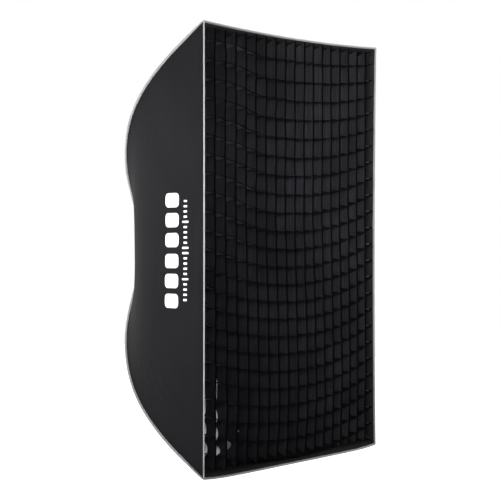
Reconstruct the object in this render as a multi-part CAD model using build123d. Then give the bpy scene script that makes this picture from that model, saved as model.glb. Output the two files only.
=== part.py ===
from build123d import *
from math import atan2, cos, degrees, hypot, radians, sin, tan
import os

# A rectangular folding softbox, 0.9 m by 1.2 m at its mouth. All lengths are in millimetres.
# Origin: centre of the mounting ring's rear seat. +Y points back to the lamp, -Y is the way the light goes,
# +Z is up and the long side of the mouth runs along Z.

# ---- driving dimensions ----
MOUTH_W = 900.0            # mouth width along X
MOUTH_H = 1200.0           # mouth height along Z
DEPTH = 515.0              # rear seat to mouth rim
SHELL_TOP = 10.0           # rear seat to the rearmost cloth
R_ROOT = 80.0              # radius where cloth and ribs start
R_CORNER = hypot(MOUTH_W / 2, MOUTH_H / 2)
CURVE_POWER = 2.43         # how sharply the ribs curve toward the mouth
CLOTH_D = 4.0              # cloth layer, measured square to the rib
SIDE_SAG = 41.0            # how far the middle of a long panel is drawn in
END_SAG = 26.0             # the same for a short panel
RIM_BOW = 8.0              # how far the mouth edge is pulled in at mid-span
CIRCLE_U = 0.15            # by this share of the rib the cloth turns from round to rectangular

RIB_D = 14.5               # rib centre line below the ridge
RIB_R = 2.5
RIB_END_U = 0.98
FOLD_DEG = 50.0            # swing of a rib from open to folded
HINGE_R = 80.0
HINGE_Y = -SHELL_TOP - RIB_D
SADDLE_U = 0.224           # where the stretcher is held on the rib
PIVOT_D = RIB_D + 12.0
PIN_R = 2.0
EAR_GAP = 3.2              # half of the gap between two ears
EAR_T = 3.0

BORE_R = 49.0              # clear bore for the lamp
COLLAR_R = 52.5
COLLAR_TOP = 10.0
LUG_R = 58.0
LUG_T = 4.0
LUG_COUNT = 3
LUG_SPAN = 40.0
FLANGE_R = 72.0
FLANGE_T = 5.0
HUB_IN = 56.0
HUB_OUT = 75.0
HUB_Y0 = -26.0
HUB_Y1 = -5.4
RETAIN_R = 64.0
RETAIN_Y0 = -32.0
GRUB_R = 1.5

RUN_IN = 56.5
RUN_OUT = 73.0
RUN_H = 12.0
BUTTON_SIZE = 8.0

BIND_H = 9.0               # binding stands this proud of the ridge
BIND_T = 3.0
RIM_TAPE = 1.8

GRID_COLS = 18
GRID_ROWS = 24
GRID_PITCH_X = 49.2
GRID_PITCH_Z = 49.3
GRID_T = 1.6
GRID_FRONT = -513.0
GRID_BACK = -470.0
DIFF_Y = -466.0
INNER_Y = -330.0
INNER_W = 600.0
INNER_H = 800.0

SEAM = 0.9994              # a panel ends a hair short of the seam, under the binding
U_STATIONS = [0, 0.06, 0.15, 0.27, 0.4, 0.54, 0.68, 0.81, 0.93, 0.966, 0.9935, 1.0]
V_STATIONS = [-1, -0.6, -0.2, 0.2, 0.6, 1]
CORNERS = {"tr": (1, 1), "tl": (-1, 1), "bl": (-1, -1), "br": (1, -1)}
CX = MOUTH_W / 2 / R_CORNER
CZ = MOUTH_H / 2 / R_CORNER


def save(name, shape):
    shape.label = name
    export_step(shape, "parts/" + name + ".step")


# ---- the shape that ribs and cloth share ----
def ridge(u, d):
    """Point (radius, y) on the ridge at share u, moved d inward square to it."""
    slope = (DEPTH - SHELL_TOP) * CURVE_POWER * u ** (CURVE_POWER - 1) / (R_CORNER - R_ROOT)
    a = atan2(slope, 1.0)
    r = R_ROOT + (R_CORNER - R_ROOT) * u
    y = -SHELL_TOP - (DEPTH - SHELL_TOP) * u ** CURVE_POWER
    return r - d * sin(a), y - d * cos(a)


def tangent_angle(u):
    slope = (DEPTH - SHELL_TOP) * CURVE_POWER * u ** (CURVE_POWER - 1) / (R_CORNER - R_ROOT)
    return -degrees(atan2(slope, 1.0))


def facet(u, d):
    """The same on the cloth, which runs straight from one station to the next."""
    i = max(k for k in range(len(U_STATIONS) - 1) if u >= U_STATIONS[k])
    u0, u1 = U_STATIONS[i], U_STATIONS[i + 1]
    f = (u - u0) / (u1 - u0)
    (r0, y0), (r1, y1) = ridge(u0, d), ridge(u1, d)
    return r0 + (r1 - r0) * f, y0 + (y1 - y0) * f


def share_at(y, d, line):
    """Share of the rib where the given line, d inward of the ridge, reaches y."""
    lo, hi = 0.0, 1.0
    for _ in range(40):
        mid = (lo + hi) / 2
        if line(mid, d)[1] > y:
            lo = mid
        else:
            hi = mid
    return lo


def sag(u):
    bump = u ** 1.9 * (1 - u) ** 3.1
    return bump / (0.38 ** 1.9 * 0.62 ** 3.1)


def on_side(side, u, r, y, v):
    """Point of a side panel: v runs from one ridge (-1) to the next (1)."""
    w = 1.0 if u >= CIRCLE_U else 1 - (1 - u / CIRCLE_U) ** 2
    draw = 1 - v * v
    near, far = (CX, CZ) if side in ("right", "left") else (CZ, CX)
    depth = SIDE_SAG if side in ("right", "left") else END_SAG
    half = atan2(far, near)
    across = r * ((1 - w) * cos(half * v) + w * near) - RIM_BOW * u ** 4 * draw
    along = SEAM * r * ((1 - w) * sin(half * v) + w * far * v)
    back = y - depth * sag(u) * draw
    sign = 1 if side in ("right", "top") else -1
    if side in ("right", "left"):
        return (sign * across, back, along)
    return (along, back, sign * across)


def skirt(side, section):
    """Solid whose section in the ridge plane is a list of (u, r, y), carried from ridge to ridge."""
    wires = []
    for v in V_STATIONS:
        wires.append(Wire.make_polygon([on_side(side, u, r, y, v) for u, r, y in section], close=True))
    return Solid.make_loft(wires, True)


def layer(side, u_list, d_out, d_in):
    end_u = share_at(-DEPTH, d_in, facet)
    outer = [(u,) + facet(u, d_out) for u in u_list]
    inner = [(u,) + facet(u, d_in) for u in [min(u, end_u) for u in reversed(u_list)]]
    return skirt(side, outer + inner)


def steps(a, b, n):
    return [a + (b - a) * i / n for i in range(n + 1)]


def stations(a, b):
    """Shares from a to b that turn where the cloth turns."""
    return [a] + [u for u in U_STATIONS if a < u < b] + [b]


# ---- placing things on a corner ----
def corner_plane(key):
    sx, sz = CORNERS[key]
    return Plane(origin=(0, 0, 0), x_dir=(sx * CX, 0, sz * CZ), z_dir=(-sz * CZ, 0, sx * CX))


def at_corner(key, shape):
    return Location(corner_plane(key)) * shape


def on_rib(u, d, shape):
    """Place a shape drawn along +X at share u of the ridge, in the corner's own plane."""
    r, y = ridge(u, d)
    return Pos(r, y, 0) * Rot(0, 0, tangent_angle(u)) * shape


def box_span(x0, x1, y0, y1, z0, z1):
    return Pos((x0 + x1) / 2, (y0 + y1) / 2, (z0 + z1) / 2) * Box(x1 - x0, y1 - y0, z1 - z0)


def rod_y(r, y0, y1):
    """Cylinder about Y."""
    return Pos(0, (y0 + y1) / 2, 0) * Rot(90, 0, 0) * Cylinder(r, y1 - y0)


def ring_y(r_in, r_out, y0, y1):
    return rod_y(r_out, y0, y1) - rod_y(r_in, y0 - 1, y1 + 1)


def around_y(shape, deg):
    return Rot(0, -deg, 0) * shape


def plate(points, half):
    """Flat plate in the XY plane with the given outline, half thick each way along Z."""
    face = Face(Wire.make_polygon(points, close=True))
    return Pos(0, 0, -half) * extrude(face, amount=2 * half, dir=(0, 0, 1))


# ---- linkage geometry in the corner's plane ----
PIVOT_RY = ridge(SADDLE_U, PIVOT_D)
ARM = hypot(PIVOT_RY[0] - HINGE_R, PIVOT_RY[1] - HINGE_Y)
REST_A = atan2(HINGE_Y - PIVOT_RY[1], PIVOT_RY[0] - HINGE_R)
RUN_PIN_Y = HINGE_Y - 2 * ARM * sin(REST_A)
RUN_TRAVEL = 2 * ARM * (sin(REST_A + radians(FOLD_DEG)) - sin(REST_A))


def slot_need():
    """Largest lead of the stretcher end over an evenly moving runner."""
    worst = 0
    for i in range(101):
        f = radians(FOLD_DEG) * i / 100
        lead = 2 * ARM * (sin(REST_A + f) - sin(REST_A)) - RUN_TRAVEL * i / 100
        worst = max(worst, lead)
    return worst


SLOT_L = slot_need() + 1.0
RUN_Y0 = RUN_PIN_Y - 6.0
RUN_Y1 = RUN_Y0 + RUN_H


# ---- mounting ring ----
def mount_ring():
    body = ring_y(BORE_R, COLLAR_R, RETAIN_Y0, COLLAR_TOP) + ring_y(BORE_R, FLANGE_R, -FLANGE_T, 0)
    lug = ring_y(COLLAR_R - 0.5, LUG_R, COLLAR_TOP - LUG_T, COLLAR_TOP)
    wedge_x = 100 * tan(radians(LUG_SPAN / 2))
    wedge = plate([(0, 0), (100, -wedge_x), (100, wedge_x)], 30)
    wedge = Rot(90, 0, 0) * wedge
    for i in range(LUG_COUNT):
        body += lug & around_y(wedge, 90 + 360 / LUG_COUNT * i)
    return fillet(body.edges().filter_by(GeomType.CIRCLE).group_by(Axis.Y)[-1], 0.6)


def grub_screw_axis(shape, i):
    """Place a shape drawn along X at one of the three radial screw places of the retaining ring."""
    return around_y(Pos(0, (RETAIN_Y0 + HUB_Y0) / 2, 0) * shape, 30 + 120 * i)


def retaining_ring():
    body = ring_y(COLLAR_R + 0.02, RETAIN_R, RETAIN_Y0, HUB_Y0 - 0.3)
    for i in range(6):
        body -= around_y(Pos(60, 0, 0) * rod_y(1.6, RETAIN_Y0 - 1, RETAIN_Y0 + 3), 60 * i)
    for i in range(3):
        body -= grub_screw_axis(Pos(59, 0, 0) * Rot(0, 90, 0) * Cylinder(GRUB_R, 18), i)
    return body


def grub_screws():
    out = []
    for i in range(3):
        mid = (COLLAR_R + RETAIN_R) / 2
        screw = Pos(mid, 0, 0) * Rot(0, 90, 0) * Cylinder(GRUB_R, RETAIN_R - COLLAR_R - 0.4)
        screw -= Pos(RETAIN_R, 0, 0) * Rot(0, 90, 0) * extrude(RegularPolygon(0.9, 6), amount=2.4, both=True)
        out.append(grub_screw_axis(screw, i))
    return Compound(children=out)


def bearing_ring():
    return ring_y(COLLAR_R + 0.1, HUB_IN - 0.1, -26.0, -5.2)


# ---- hub ----
def ear(side, y_pin, y_lo, y_hi, r_in, r_out):
    """One ear of a clevis, drawn in the corner's plane."""
    z0 = EAR_GAP if side > 0 else -EAR_GAP - EAR_T
    body = box_span(r_in, HINGE_R, y_lo, y_hi, z0, z0 + EAR_T)
    return body + box_span(HINGE_R - 0.1, r_out, y_lo + 1.5, y_hi - 1.5, z0, z0 + EAR_T)


def hub_ring():
    body = ring_y(HUB_IN, HUB_OUT, HUB_Y0, HUB_Y1)
    body -= ring_y(60, 71, HUB_Y0 - 1, HUB_Y0 + 8)
    for i in range(16):
        body += around_y(box_span(59.5, 71.5, HUB_Y0, HUB_Y0 + 9, -1.0, 1.0), 22.5 * i + 11.25)
    for key in CORNERS:
        root = box_span(66, 76.2, HINGE_Y - 7, HINGE_Y + 7, -8.5, 8.5)
        body += at_corner(key, root)
        for s in (1, -1):
            cheek = ear(s, HINGE_Y, HINGE_Y - 7, HINGE_Y + 7, 74, 87)
            cheek -= Pos(HINGE_R, HINGE_Y, 0) * Cylinder(PIN_R, 40)
            body += at_corner(key, cheek)
        # room for the rib's root between the ears
        body -= at_corner(key, box_span(71.5, 90, HINGE_Y - 8, HINGE_Y + 8, -EAR_GAP, EAR_GAP))
    for s in (1, -1):
        tongue = box_span(74, 79, HUB_Y0, HUB_Y0 + 10, -9, 9)
        tongue += box_span(75.8, 79, RUN_Y0 - 2, HUB_Y0 + 1, -9, 9)
        tongue -= box_span(70, 82, RUN_Y0 - 5, RUN_Y1 + 2, -BUTTON_SIZE / 2 - 0.5, BUTTON_SIZE / 2 + 0.5)
        body += tongue if s > 0 else Rot(0, 180, 0) * tongue
    return body


def hub_pins():
    out = []
    for key in CORNERS:
        p = Pos(HINGE_R, HINGE_Y, 0) * Cylinder(PIN_R, 2 * (EAR_GAP + EAR_T))
        for s in (1, -1):
            p += Pos(HINGE_R, HINGE_Y, s * (EAR_GAP + EAR_T + 0.6)) * Cylinder(3.2, 1.2)
        out.append(at_corner(key, p))
    return Compound(children=out)


def hem_ring():
    body = ring_y(HUB_OUT + 0.4, R_ROOT - 1.6, -SHELL_TOP - CLOTH_D, -SHELL_TOP + 2)
    return fillet(body.edges().group_by(Axis.Y)[-1], 1.2)


# ---- runner with its two release buttons ----
def runner_ring():
    body = ring_y(RUN_IN, RUN_OUT, RUN_Y0, RUN_Y1)
    body -= ring_y(60.5, 69, RUN_Y1 - 6, RUN_Y1 + 1)
    for i in range(16):
        body += around_y(box_span(60, 69.5, RUN_Y0, RUN_Y1, -1.0, 1.0), 22.5 * i + 11.25)
    for key in CORNERS:
        body += at_corner(key, box_span(60, 73.6, RUN_PIN_Y - SLOT_L - 6, RUN_Y1, -8.5, 8.5))
        for s in (1, -1):
            cheek = ear(s, RUN_PIN_Y, RUN_PIN_Y - SLOT_L - 6, RUN_PIN_Y + 6, 72, 87)
            body += at_corner(key, cheek)
        slot = Pos(HINGE_R, RUN_PIN_Y, 0) * Cylinder(PIN_R + 0.15, 40)
        slot += Pos(HINGE_R, RUN_PIN_Y - SLOT_L, 0) * Cylinder(PIN_R + 0.15, 40)
        half = PIN_R + 0.15
        slot += box_span(HINGE_R - half, HINGE_R + half, RUN_PIN_Y - SLOT_L, RUN_PIN_Y, -20, 20)
        body -= at_corner(key, slot)
        body -= at_corner(key, box_span(73.4, 95, RUN_PIN_Y - SLOT_L - 8, RUN_PIN_Y + 8, -EAR_GAP, EAR_GAP))
    for s in (0, 180):
        housing = box_span(59, 73, RUN_Y0, RUN_Y1, -8, 8)
        body += Rot(0, s, 0) * housing
    for s in (0, 180):
        half = BUTTON_SIZE / 2 + 0.15
        mid = (RUN_Y0 + RUN_Y1) / 2
        body -= Rot(0, s, 0) * box_span(62, 90, mid - half, mid + half, -half, half)
    return body


def button(s):
    half = BUTTON_SIZE / 2
    mid = (RUN_Y0 + RUN_Y1) / 2
    body = box_span(66, 83, mid - half, mid + half, -half, half)
    head = box_span(82, 86.5, mid - 6, mid + 6, -7, 7)
    head = fillet(head.edges().group_by(Axis.X)[-1], 1.6)
    body += head
    for i in range(5):
        body -= box_span(86.1, 88, mid - 4.4 + 2 * i, mid - 3.6 + 2 * i, -5, 5)
    return body if s > 0 else Rot(0, 180, 0) * body


# ---- rib, its fittings and its stretcher, drawn in the corner's plane ----
def rib_rod():
    pts = [ridge(u, RIB_D) for u in steps(0.012, RIB_END_U, 14)]
    path = Spline(*[(r, y, 0) for r, y in pts])
    start = Plane(origin=path @ 0, z_dir=path % 0)
    return sweep(start * Circle(RIB_R), path=path)


def rib_root():
    body = box_span(HINGE_R - 1, 100, HINGE_Y - 5, HINGE_Y + 5, -3.0, 3.0)
    body += Pos(HINGE_R, HINGE_Y, 0) * Cylinder(5.5, 6.0)
    body += Pos(101, HINGE_Y, 0) * Rot(0, 90, 0) * Cylinder(4.4, 14)
    body -= Pos(HINGE_R, HINGE_Y, 0) * Cylinder(PIN_R + 0.05, 20)
    body -= Pos(111, HINGE_Y - 0.15, 0) * Rot(0, 90, 0) * Cylinder(RIB_R + 0.45, 48)
    return body


def saddle():
    """Bracket clamped on the rib: a sleeve and two ears that hold the stretcher's pivot."""
    body = on_rib(SADDLE_U, RIB_D, Rot(0, 90, 0) * Cylinder(4.6, 22))
    body += on_rib(SADDLE_U, RIB_D + 4.5, Box(18, 4.4, 12.4))
    cheeks = on_rib(SADDLE_U, RIB_D + 9.0, Box(11, 8, 12.4))
    cheeks += on_rib(SADDLE_U, PIVOT_D, Cylinder(5.5, 12.4))
    body += cheeks
    body -= on_rib(SADDLE_U, RIB_D + 14.3, Box(40, 15, 2 * EAR_GAP))
    body -= on_rib(SADDLE_U, RIB_D, Rot(0, 90, 0) * Cylinder(RIB_R + 0.15, 60))
    body -= on_rib(SADDLE_U, PIVOT_D, Cylinder(PIN_R + 0.15, 40))
    return body


def rib_tip():
    u = RIB_END_U
    cap = Rot(0, 90, 0) * Cylinder(3.7, 14) + Pos(7, 0, 0) * Sphere(3.7)
    cap -= Pos(-5, 0, 0) * Rot(0, 90, 0) * Cylinder(RIB_R + 0.12, 15.0)
    return on_rib(u, RIB_D, cap)


def pocket():
    """Folded cloth pocket that takes the rib's tip: a flap inside it and a stitched end."""
    flap = on_rib(0.97, RIB_D + 5.6, Box(46, 1.4, 15))
    end = on_rib(0.9895, RIB_D + 2.0, Box(1.4, 8.0, 8.0))
    return flap + end


def stretcher():
    """Flat bar from the rib's saddle back to the runner."""
    x0, y0 = PIVOT_RY
    x1, y1 = HINGE_R, RUN_PIN_Y
    length = hypot(x0 - x1, y0 - y1)
    bar = Pos(length / 2, 0, 0) * Box(length, 9, 5.0)
    bar += Cylinder(5.0, 5.0) + Pos(length, 0, 0) * Cylinder(5.0, 5.0)
    bar -= Pos(length / 2, 0, 2.5) * Box(length - 30, 4.5, 1.6)
    bar -= Pos(length / 2, 0, -2.5) * Box(length - 30, 4.5, 1.6)
    bar -= Cylinder(PIN_R, 20) + Pos(length, 0, 0) * Cylinder(PIN_R + 0.05, 20)
    turn = degrees(atan2(y0 - y1, x0 - x1))
    return Pos(x1, y1, 0) * Rot(0, 0, turn) * bar


def run_pin():
    pin = Cylinder(PIN_R, 2 * (EAR_GAP + EAR_T) + 0.6)
    for s in (1, -1):
        pin += Pos(0, 0, s * (EAR_GAP + EAR_T + 0.9)) * Cylinder(3.4, 1.2)
    return Pos(HINGE_R, RUN_PIN_Y, 0) * pin


def saddle_pin():
    pin = Cylinder(PIN_R, 2 * (EAR_GAP + EAR_T) + 0.6)
    for s in (1, -1):
        pin += Pos(0, 0, s * (EAR_GAP + EAR_T + 0.9)) * Cylinder(3.4, 1.2)
    return Pos(PIVOT_RY[0], PIVOT_RY[1], 0) * pin


# ---- cloth ----
def ridge_binding():
    """Folded tape over the seam between two panels, standing out from the ridge."""
    wires = []
    for u in U_STATIONS[:-2] + [U_STATIONS[-2] - 0.003]:
        r0, y0 = ridge(u, 0)
        r1, y1 = ridge(u, -BIND_H)
        h = BIND_T / 2
        wires.append(Wire.make_polygon([(r0, y0, -h), (r1, y1, -h), (r1, y1, h), (r0, y0, h)], close=True))
    return Solid.make_loft(wires, True)


def rim_binding(side):
    """Tape that wraps the mouth edge of a panel."""
    u0 = U_STATIONS[-2]
    a = ridge(u0, 0)
    f = ridge(u0, -RIM_TAPE)
    b = ridge(1.0, 0)
    front = -DEPTH - RIM_TAPE
    c = (b[0] - 5.0, -DEPTH)
    d = (b[0] - 5.0, front)
    e = (b[0] + RIM_TAPE, front)
    section = [(u0,) + a, (1.0,) + b, (1.0,) + c, (1.0,) + d, (1.0,) + e, (u0,) + f]
    return skirt(side, section)


def loop_tape():
    return Compound(children=[layer(s, stations(0.93, 0.996), CLOTH_D + 0.1, CLOTH_D + 1.3) for s in SIDES])


def diffuser_border():
    return Compound(children=[layer(s, stations(0.936, 0.966), CLOTH_D + 1.4, CLOTH_D + 2.7) for s in SIDES])


def grid_border():
    return Compound(children=[layer(s, stations(0.969, 0.996), CLOTH_D + 1.4, CLOTH_D + 2.7) for s in SIDES])


def front_diffuser():
    u = share_at(DIFF_Y + 0.5, CLOTH_D + 3.0, facet)
    r, y = facet(u, CLOTH_D + 3.0)
    pts = []
    for side, way in (("right", 1), ("top", -1), ("left", -1), ("bottom", 1)):
        for v in (-0.965, -0.6, -0.2, 0.2, 0.6, 0.965):
            p = on_side(side, u, r, y, v * way)
            pts.append((p[0], DIFF_Y - 0.5, p[2]))
    return extrude(Face(Wire.make_polygon(pts, close=True)), amount=1.0, dir=(0, 1, 0))


def inner_diffuser():
    return box_span(-INNER_W / 2 + 12, INNER_W / 2 - 12, INNER_Y - 0.5, INNER_Y + 0.5,
                    -INNER_H / 2 + 12, INNER_H / 2 - 12)


def inner_border():
    body = box_span(-INNER_W / 2, INNER_W / 2, INNER_Y - 1.2, INNER_Y + 1.2, -INNER_H / 2, INNER_H / 2)
    return body - box_span(-INNER_W / 2 + 12, INNER_W / 2 - 12, INNER_Y - 3, INNER_Y + 3,
                           -INNER_H / 2 + 12, INNER_H / 2 - 12)


def inner_tab(key):
    """Elastic strap from the inner diffuser's corner to a loop round the rib."""
    u = share_at(INNER_Y + 2, RIB_D, ridge)
    r, y = ridge(u, RIB_D)
    r0 = hypot(INNER_W, INNER_H) / 2
    strap = box_span(r0 - 4, r - 3.6, INNER_Y + 1.3, INNER_Y + 2.7, -6, 6)
    loop = on_rib(u, RIB_D, Rot(0, 90, 0) * (Cylinder(4.2, 10) - Cylinder(RIB_R + 0.3, 20)))
    return at_corner(key, strap + loop)


def grid_lattice():
    """Crossed cloth strips sewn at every crossing, ends cut to the flare of the mouth."""
    depth = GRID_BACK - GRID_FRONT
    mid = (GRID_BACK + GRID_FRONT) / 2
    half_x = GRID_PITCH_X * GRID_COLS / 2
    half_z = GRID_PITCH_Z * GRID_ROWS / 2
    cell = Rectangle(GRID_PITCH_X - GRID_T, GRID_PITCH_Z - GRID_T)
    cells = GridLocations(GRID_PITCH_X, GRID_PITCH_Z, GRID_COLS, GRID_ROWS) * cell
    sheet = Rectangle(2 * half_x, 2 * half_z) - cells
    slab = Pos(0, GRID_BACK, 0) * Rot(90, 0, 0) * extrude(sheet, amount=depth)
    wires = []
    for y, hx, hz in ((GRID_FRONT - 1, 435.8, 584.8), (GRID_BACK + 1, 422.0, 565.4)):
        wires.append(Wire.make_polygon([(-hx, y, -hz), (hx, y, -hz), (hx, y, hz), (-hx, y, hz)], close=True))
    return slab & Solid.make_loft(wires, True)


SIDES = ("left", "right", "top", "bottom")


def main():
    os.makedirs("parts", exist_ok=True)
    save("mount_ring", mount_ring())
    save("grub_screws", grub_screws())
    save("retaining_ring", retaining_ring())
    save("bearing_ring", bearing_ring())
    save("hub_ring", hub_ring())
    save("hub_pins", hub_pins())
    save("hem_ring", hem_ring())
    save("runner_ring", runner_ring())
    save("button_right", button(1))
    save("button_left", button(-1))
    for key in CORNERS:
        save("rib_rod_" + key, at_corner(key, rib_rod()))
        save("rib_root_" + key, at_corner(key, rib_root()))
        save("saddle_" + key, at_corner(key, saddle()))
        save("rib_tip_" + key, at_corner(key, rib_tip()))
        save("pocket_" + key, at_corner(key, pocket()))
        save("stretcher_" + key, at_corner(key, stretcher()))
        save("pivot_pins_" + key, Compound(children=[at_corner(key, run_pin()), at_corner(key, saddle_pin())]))
        save("ridge_" + key, at_corner(key, ridge_binding()))
    for side in SIDES:
        save("panel_" + side, layer(side, U_STATIONS, 0, CLOTH_D))
        save("rim_" + side, rim_binding(side))
    save("loop_tape", loop_tape())
    save("front_diffuser", front_diffuser())
    save("diffuser_border", diffuser_border())
    save("inner_diffuser", inner_diffuser())
    save("inner_border", inner_border())
    save("inner_tabs", Compound(children=[inner_tab(key) for key in CORNERS]))
    save("grid_lattice", grid_lattice())
    save("grid_border", grid_border())


main()
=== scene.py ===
import bpy
import bmesh
import math
import random
import numpy as np
from mathutils import Matrix, Vector, noise


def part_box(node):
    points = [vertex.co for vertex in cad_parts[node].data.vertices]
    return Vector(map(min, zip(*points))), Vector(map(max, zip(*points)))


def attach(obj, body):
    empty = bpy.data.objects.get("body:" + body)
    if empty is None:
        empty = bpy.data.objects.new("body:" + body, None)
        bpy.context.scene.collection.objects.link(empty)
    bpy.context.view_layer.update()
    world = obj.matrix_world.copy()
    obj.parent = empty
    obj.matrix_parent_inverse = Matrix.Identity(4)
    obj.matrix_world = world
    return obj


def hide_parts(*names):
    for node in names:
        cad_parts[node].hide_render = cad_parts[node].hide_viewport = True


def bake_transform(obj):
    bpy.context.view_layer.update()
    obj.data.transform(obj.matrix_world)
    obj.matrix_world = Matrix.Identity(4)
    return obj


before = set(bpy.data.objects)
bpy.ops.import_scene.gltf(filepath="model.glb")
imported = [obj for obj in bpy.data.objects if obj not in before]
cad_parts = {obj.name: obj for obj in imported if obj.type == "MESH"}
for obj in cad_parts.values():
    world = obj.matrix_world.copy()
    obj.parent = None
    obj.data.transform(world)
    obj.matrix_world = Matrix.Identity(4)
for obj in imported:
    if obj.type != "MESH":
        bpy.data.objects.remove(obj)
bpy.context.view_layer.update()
random.seed(7)

# ---- sizes, read from the frame, in metres
MM = 0.001
PANEL_END = 0.9994                 # a panel ends a little short of the seam at the corner
HALF_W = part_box("panel_top")[1].x / PANEL_END
HALF_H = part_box("panel_top")[1].z
FRONT_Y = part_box("panel_left")[0].y
SHELL_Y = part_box("panel_left")[1].y
R_CORNER = math.hypot(HALF_W, HALF_H)
CX = HALF_W / R_CORNER
CZ = HALF_H / R_CORNER
R_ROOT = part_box("hem_ring")[1].x + 1.6 * MM
CURVE = 2.43                       # power of the rib's curve
RIB_D = 14.5 * MM                  # rib centre below the ridge
CIRCLE_U = 0.15                    # share of a rib within which the cloth is still round
GRID_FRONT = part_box("grid_lattice")[0].y
GRID_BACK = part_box("grid_lattice")[1].y
DIFF_Y = sum(c.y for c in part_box("front_diffuser")) / 2
INNER_LOW, INNER_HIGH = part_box("inner_border")
INNER_Y = (INNER_LOW.y + INNER_HIGH.y) / 2
TALL = ("left", "right")           # the sides that stand upright
CORNERS = {"tr": (1, 1), "tl": (-1, 1), "bl": (-1, -1), "br": (1, -1)}
# how deep each side sags, and how far its middle lies in from a straight edge at the mouth, and its power
SAG = {"left": 0.0385, "right": 0.0385, "top": 0.026, "bottom": 0.026}
BOW = {"left": 0.0015, "right": 0.008, "top": 0.010, "bottom": -0.0062}
BOW_POWER = {"left": 2, "right": 2, "top": 2, "bottom": 7}
# how far the cloth is drawn in from the line of the ribs, and how far it hangs, at shares of a rib
TUCK = ([0, 0.08, 0.17, 0.25, 0.36, 0.45, 0.55, 0.65, 0.85, 0.93, 1],
        [0, 0.0030, 0.0078, 0.0092, 0.0092, 0.0082, 0.0060, 0.0044, 0.0048, 0.0048, 0.0010])
DROOP = ([0, 0.35, 0.65, 0.85, 1], [0, 0.0010, 0.0035, 0.0026, 0])


# ---- the shape that ribs and cloth share
def slope_angle(u):
    """Angle of the ridge to the mouth's plane at share u."""
    return np.arctan((SHELL_Y - FRONT_Y) * CURVE * u ** (CURVE - 1) / (R_CORNER - R_ROOT))


def ridge(u, d):
    """(radius, y) at share u of the ridge, d inward square to it."""
    a = slope_angle(u)
    r = R_ROOT + (R_CORNER - R_ROOT) * u - d * np.sin(a)
    y = SHELL_Y + (FRONT_Y - SHELL_Y) * u ** CURVE - d * np.cos(a)
    return r, y


def sag_share(u):
    """How much of a side's greatest sag it has at share u of the ribs."""
    u = np.clip(u, 0, 1)
    return u ** 1.9 * (1 - u) ** 3.1 / (0.38 ** 1.9 * 0.62 ** 3.1)


def through(points, u):
    """Smooth curve through (share, value) points: cubic pieces, each point's slope from its neighbours."""
    x, v = (np.array(row, float) for row in points)
    slope = np.gradient(v, x)
    u = np.clip(u, x[0], x[-1])
    i = np.clip(np.searchsorted(x, u) - 1, 0, len(x) - 2)
    span = x[i + 1] - x[i]
    f = (u - x[i]) / span
    rise = v[i] * (1 + 2 * f) * (1 - f) ** 2 + v[i + 1] * f * f * (3 - 2 * f)
    return rise + span * (slope[i] * f * (1 - f) ** 2 - slope[i + 1] * f * f * (1 - f))


def tuck(u):
    """How far the sewn cloth lies inside the line that the ribs would give it."""
    return np.maximum(through(TUCK, u), 0)


def droop(u):
    """How far the cloth hangs under its own weight."""
    return through(DROOP, u)


def on_side(side, across, along):
    """(x, z) of a place: across runs out towards the side, along runs up or to the right."""
    across = across if side in ("right", "top") else -across
    return (across, along) if side in TALL else (along, across)


def place(side, u, r, y, t):
    """Points of a side panel: t runs from one ridge (-1) to the next (1)."""
    u, r, y, t = np.broadcast_arrays(*(np.asarray(x, float) for x in (u, r, y, t)))
    near, far = (CX, CZ) if side in TALL else (CZ, CX)
    w = np.where(u >= CIRCLE_U, 1.0, 1 - (1 - u / CIRCLE_U) ** 2)
    draw = 1 - np.abs(t) ** BOW_POWER[side]
    half = math.atan2(far, near)
    across = r * ((1 - w) * np.cos(half * t) + w * near) - BOW[side] * np.clip(u, 0, 1.1) ** 4 * draw
    along = r * ((1 - w) * np.sin(half * t) + w * far * t)
    back = y - SAG[side] * sag_share(u) * (1 - np.abs(t) ** 3)
    x, z = on_side(side, across, along)
    return np.stack([x, back, z - droop(u)], -1)


def layer_point(side, u, d, t):
    """Point of a side, d inward from its sewn cloth."""
    u = np.asarray(u, float)
    r, y = ridge(u, d + tuck(u) * np.abs(t) ** 3)
    return place(side, u, r, y, t)


def corner_point(key, r, y, z):
    """Point in a corner's own plane: r out along the diagonal, z square to that plane."""
    sx, sz = CORNERS[key]
    r, y, z = np.broadcast_arrays(*(np.asarray(x, float) for x in (r, y, z)))
    return np.stack((r * sx * CX - z * sz * CZ, y, r * sz * CZ + z * sx * CX), -1)


# ---- mesh helpers
def new_object(name, verts, faces, uvs=None, mats=(), face_mats=None, smooth=True):
    mesh = bpy.data.meshes.new(name)
    mesh.from_pydata([tuple(v) for v in verts], [], faces)
    if uvs is not None:
        layer = mesh.uv_layers.new(name="UVMap")
        loop_verts = np.zeros(len(mesh.loops), np.int32)
        mesh.loops.foreach_get("vertex_index", loop_verts)
        layer.data.foreach_set("uv", np.asarray(uvs, np.float32)[loop_verts].ravel())
    for m in mats:
        mesh.materials.append(m)
    if face_mats is not None:
        mesh.polygons.foreach_set("material_index", np.asarray(face_mats, np.int32))
    if smooth:
        mesh.polygons.foreach_set("use_smooth", [True] * len(mesh.polygons))
    mesh.update()
    obj = bpy.data.objects.new(name, mesh)
    bpy.context.scene.collection.objects.link(obj)
    return obj


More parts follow.
